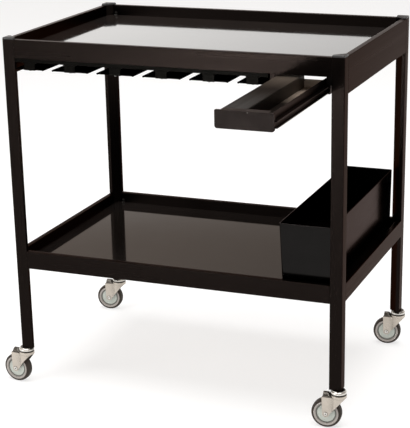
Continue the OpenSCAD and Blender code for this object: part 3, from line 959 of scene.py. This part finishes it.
def cheek_edges(z):
    """A fork cheek's fore edge at a height, and how far its aft edge lies along the sheet from the crease."""
    if z < WHEEL_RADIUS:
        reach = math.sqrt(max(0.0, FORK_ROUND**2 - (WHEEL_RADIUS - z) ** 2))
        return -TRAIL - reach, -TRAIL + reach - CREASE
    lean = 1.6 * MM
    fore = -TRAIL - FORK_ROUND - lean * (z - WHEEL_RADIUS) / (CROWN_TOP - WHEEL_RADIUS)
    knee = WHEEL_RADIUS + 7 * MM
    if z < knee:
        aft = -TRAIL + FORK_ROUND - CREASE
        return fore, aft * (1 - (z - WHEEL_RADIUS) / (knee - WHEEL_RADIUS))
    climb = (z - knee) / (CROWN_EDGE - knee)
    return fore, CUP_LENGTH * (0.72 * climb + 0.28 * climb**8)


def cheek_point(fore, aft, share):
    """A point of the cheek in plan, and whether it lies on the cup round the swivel axis."""
    along_sheet = (fore - CREASE) + (aft - (fore - CREASE)) * share
    if along_sheet <= 0:
        return CREASE + along_sheet, CHEEK_HALF, False
    angle = math.acos(CREASE / CUP_RADIUS) - along_sheet / CUP_RADIUS
    return CUP_RADIUS * math.cos(angle), CUP_RADIUS * math.sin(angle), True


def make_fork(tag, matrix):
    """One pressed sheet, drawn from the tip of a cheek up to the middle of the crown and then mirrored."""
    bend = 4 * MM
    side_steps = 14
    bend_steps = 6
    across = 28
    levels = []
    for k in range(side_steps + 1):
        levels.append((FORK_BOTTOM + (CROWN_TOP - bend - FORK_BOTTOM) * (k / side_steps) ** 1.25, 0.0))
    for k in range(1, bend_steps + 1):
        angle = math.pi / 2 * k / bend_steps
        levels.append((CROWN_TOP - bend + bend * math.sin(angle), bend * (1 - math.cos(angle))))
    rows = []
    for z, tuck in levels:
        fore, aft = cheek_edges(min(z, CROWN_EDGE))
        fore += 0.55 * tuck
        row = []
        for j in range(across + 1):
            x, y, on_cup = cheek_point(fore, aft, j / across)
            if on_cup:
                kept = 1 - tuck / math.hypot(x, y)
                row.append((x * kept, max(y * kept, 0.0), z))
            else:
                row.append((x, max(y - tuck, 0.0), z))
        rows.append(row)
    crown_edge = rows[-1]
    for share in (0.85, 0.65, 0.4, 0.14):
        arch = HOOD * (1 - share**2)
        row = []
        for x, y, z in crown_edge:
            over_wheel = min(max((-x - HOOD_START) / HOOD_RUN, 0), 1)
            row.append((x, y * share, z + arch * over_wheel))
        rows.append(row)
    rows += [[(x, -y, z) for x, y, z in row] for row in reversed(rows)]
    shape = Shape(matrix)
    shape.sheet(rows)
    node = f"castor_{tag}_fork"
    fork = piece(f"castor_{tag}_yoke", shape, f"castor_{tag}", FORK, [node], crease=30)
    solid = fork.modifiers.new("sheet", "SOLIDIFY")
    solid.thickness = FORK_SHEET
    solid.offset = -1
    solid.use_even_offset = True
    rim = fork.modifiers.new("rim", "BEVEL")
    rim.width = 0.4 * MM
    rim.segments = 2
    rim.angle_limit = math.radians(50)


def make_race(tag, matrix):
    """The turning race on top of the fork."""
    shape = Shape(matrix)
    profile = [(6.2, 84.2), (14, 83.4), (20.4, 83.2), (20.7, 83.8), (20.7, 89.4), (20.3, 90.8)]
    profile += [(19.4, 91.9), (18, 92.3), (6.2, 92.3)]
    shape.lathe(in_mm(profile), 64, closed=True)
    piece(f"castor_{tag}_race", shape, f"castor_{tag}", FORK, crease=30)


def make_castor_head(tag, matrix):
    """What doesn't turn: fixed race, top plate and stem, and the rivet's head under the fork's crown."""
    shape = Shape(matrix)
    profile = [(5.8, 83.4), (5.8, 92.8), (17.6, 92.8), (19.2, 93.5), (20.3, 94.8), (20.6, 96.6), (20.2, 98.8)]
    profile += [(19.0, 100.4), (17.4, 101.5), (16.8, 102.9), (4, 102.9), (4, 140), (3, 141)]
    shape.lathe(in_mm(profile), 64)
    shape.lathe(in_mm([(9, 81.2), (8.8, 82.4), (7.5, 83.2), (5.9, 83.6)]), 32)
    piece(f"castor_{tag}_top", shape, "frame", ZINC, [f"castor_{tag}_head"], crease=30)


def make_axle(tag, matrix):
    """A bolt through the fork, with a round socket head on one side and a nut on the other."""
    shape = Shape(matrix)
    half = CHEEK_HALF
    around = 36
    shank = 3.95 * MM
    shape.lathe([(shank, -half - 2 * MM), (shank, half)], 32)
    head = in_mm([(4.9, 0), (4.9, 0.6), (4.3, 1.0), (3.4, 1.2)])
    socket = in_mm([(2.0, 1.2), (1.9, 0.3)])
    rings = [[(x, y, half + h) for x, y in circle(r, around)] for r, h in head]
    rings += [[(x, y, half + h) for x, y in hexagon(r, around)] for r, h in socket]
    shape.skin(rings)
    nut = in_mm([(6.4, -0.2), (7.0, -0.5), (7.0, -3.6), (6.2, -4.0)])
    shape.skin([[(x, y, -half + h) for x, y in hexagon(r, around)] for r, h in nut])
    shape.lathe([(r, -half - h) for r, h in in_mm([(3.9, 3.9), (3.9, 4.2), (3.2, 4.5)])], 24)
    piece(f"castor_{tag}_bolt", shape, f"castor_{tag}", ZINC, [f"castor_{tag}_axle"], crease=30)


# Each ring of a wheel: its name, the CAD node it stands for, slot, finish, steps round, crease angle, and one side
# of its closed profile as (radius, distance from the wheel's middle plane) in millimetres.
WHEEL_RINGS = (
    (
        "wheel_centre", "hub", "hub_plastic", HUB, 72, 35,
        [
            (4.1, 12.2), (7.4, 12.2), (8.2, 11.6), (9.2, 9.6), (10.2, 9.2),
            (14, 8.6), (19, 8.2), (21.6, 8.5), (22.5, 8.9), (23.2, 8.3),
        ],
    ),
    (
        "tyre_core", "tyre", "tyre_rubber", SHADED_GROOVE, 72, 35,
        [(23.3, 7.2), (24.6, 6.9), (27.1, 7.6)],
    ),
    (
        "tyre_band", "tyre", "tyre_rubber", BAND, 72, 40,
        [(27.15, 10.2), (27.7, 10.9), (28.8, 11.3), (31.2, 11.4), (32.3, 11.1)],
    ),
    (
        "tread", "tyre", "tyre_rubber", TYRE, 96, 50,
        [
            (32.35, 10.7), (32.9, 11.1), (34.6, 11.1), (36.4, 10.4),
            (37.8, 9.0), (38.7, 6.7), (39, 3.6), (39, 0),
        ],
    ),
)


def make_wheel(tag, matrix):
    for name, node, slot, finish, steps, crease, side in WHEEL_RINGS:
        other_side = [(r, -h) for r, h in reversed(side) if h]
        shape = Shape(matrix)
        shape.lathe(in_mm(side + other_side), steps, closed=True)
        node = f"castor_{tag}_{node}"
        piece(f"castor_{tag}_{name}", shape, f"wheel_{tag}", finish, [node], crease=crease)


def make_castors():
    lay = Matrix.Translation((-TRAIL, 0, WHEEL_RADIUS)) @ Matrix.Rotation(math.pi / 2, 4, "X")
    for tag in ("fl", "fr", "rl", "rr"):
        matrix = castor_matrix(tag)
        make_castor_head(tag, matrix)
        make_fork(tag, matrix)
        make_race(tag, matrix)
        make_axle(tag, matrix @ lay)
        make_wheel(tag, matrix @ lay)


# ------------------------------------------------------------------ studio


def make_floor():
    """A wide disc that glows a little, so that it stays white far from the lights."""
    radius = 40
    around = 96
    finish = Finish("floor", (0.40, 0.40, 0.40), 0.9, specular=0.1)
    finish.tint(finish.spread(finish.noise(2, detail=4), 0.0, 0.5), (0.39, 0.39, 0.39))
    finish.shader.inputs["Emission Color"].default_value = (1, 1, 1, 1)
    finish.shader.inputs["Emission Strength"].default_value = 0.66
    mesh = bpy.data.meshes.new("floor")
    mesh.from_pydata([(x, y, 0) for x, y in circle(radius, around)], [], [tuple(range(around))])
    mesh.materials.append(finish.material)
    floor = bpy.data.objects.new("floor", mesh)
    bpy.context.scene.collection.objects.link(floor)


def make_world():
    """Soft light all round: white low down like a lit backdrop, dim and warm above it, grey overhead."""
    dim = (0.245, 0.201, 0.172)
    world = bpy.data.worlds.new("studio")
    bpy.context.scene.world = world
    world.use_nodes = True
    tree = world.node_tree
    direction = tree.nodes.new("ShaderNodeTexCoord").outputs["Generated"]
    parts = tree.nodes.new("ShaderNodeSeparateXYZ")
    ramp = tree.nodes.new("ShaderNodeValToRGB")
    ramp.color_ramp.interpolation = "EASE"
    stops = [
        (0.20, (1.0, 0.985, 0.965)),
        (0.31, dim),
        (0.62, dim),
        (0.80, (0.33, 0.33, 0.33)),
    ]
    while len(ramp.color_ramp.elements) < len(stops):
        ramp.color_ramp.elements.new(1.0)
    for element, (height, color) in zip(ramp.color_ramp.elements, stops):
        element.position = height
        element.color = (*color, 1)
    across = tree.nodes.new("ShaderNodeMapRange")
    for name, number in (("From Min", -0.45), ("From Max", -0.27), ("To Min", 1.78), ("To Max", 1.34)):
        across.inputs[name].default_value = number
    background = tree.nodes["Background"]
    tree.links.new(parts.outputs["X"], across.inputs["Value"])
    tree.links.new(across.outputs["Result"], background.inputs["Strength"])
    tree.links.new(direction, parts.inputs[0])
    tree.links.new(parts.outputs["Z"], ramp.inputs["Fac"])
    tree.links.new(ramp.outputs["Color"], background.inputs["Color"])


def place_light(name, light, power, place):
    light.energy = power
    obj = bpy.data.objects.new(name, light)
    bpy.context.scene.collection.objects.link(obj)
    obj.location = place
    return obj


def add_softbox(name, place, target, size, power):
    """A rectangular lamp, size metres wide and high, that faces a target."""
    light = bpy.data.lights.new(name, "AREA")
    light.shape = "RECTANGLE"
    light.size, light.size_y = size
    obj = place_light(name, light, power, place)
    obj.rotation_euler = (Vector(target) - Vector(place)).to_track_quat("-Z", "Y").to_euler()


def add_pool(name, place, spread, power):
    """A lamp that lights a round patch of floor straight below it, in a cone spread degrees wide."""
    light = bpy.data.lights.new(name, "SPOT")
    light.spot_size = math.radians(spread)
    light.spot_blend = 1.0
    light.shadow_soft_size = 0.1
    place_light(name, light, power, place)


def make_camera():
    """A long lens in front of the right corner, looking down on the tray and set off its own axis."""
    place = (1.3628, -3.4288, 1.560)
    yaw, pitch, roll = -0.3727, 0.3266, -0.0163
    data = bpy.data.cameras.new("camera")
    data.sensor_width = 36
    data.lens = 119.2
    data.shift_x = -0.0436
    data.shift_y = 0.101
    camera = bpy.data.objects.new("camera", data)
    bpy.context.scene.collection.objects.link(camera)
    ahead = math.cos(pitch)
    forward = Vector((math.sin(yaw) * ahead, math.cos(yaw) * ahead, -math.sin(pitch)))
    level = Vector((math.cos(yaw), -math.sin(yaw), 0))
    upright = level.cross(forward)
    right = level * math.cos(roll) + upright * math.sin(roll)
    top = upright * math.cos(roll) - level * math.sin(roll)
    turn = Matrix((right, top, -forward)).transposed().to_4x4()
    camera.matrix_world = Matrix.Translation(place) @ turn
    bpy.context.scene.camera = camera


# ------------------------------------------------------------------ the whole object

# These nodes keep their CAD shape and only get a finish.
for node, finish in (("top_panel", PANEL), ("lower_panel", PANEL), ("leg_inserts", CAP)):
    materials = frame["nodes"][node].data.materials
    materials.clear()
    materials.append(finish)

make_legs()
make_caps()
make_rails()
make_corner_plates()
make_panel_clips()
make_rack()
make_runners()
make_drawer()
make_bottle_box()
make_castors()

make_floor()
make_world()
add_softbox("top_light", (0, -0.4, 4.2), (0, 0, 0), (3.6, 3.6), 220)
add_softbox("front_light", (-3.2, -4.0, 2.6), (0, 0, 0.4), (2.4, 2.4), 60)
add_pool("floor_light", (-1.4, -4.7, 2.0), 48, 15500)
make_camera()
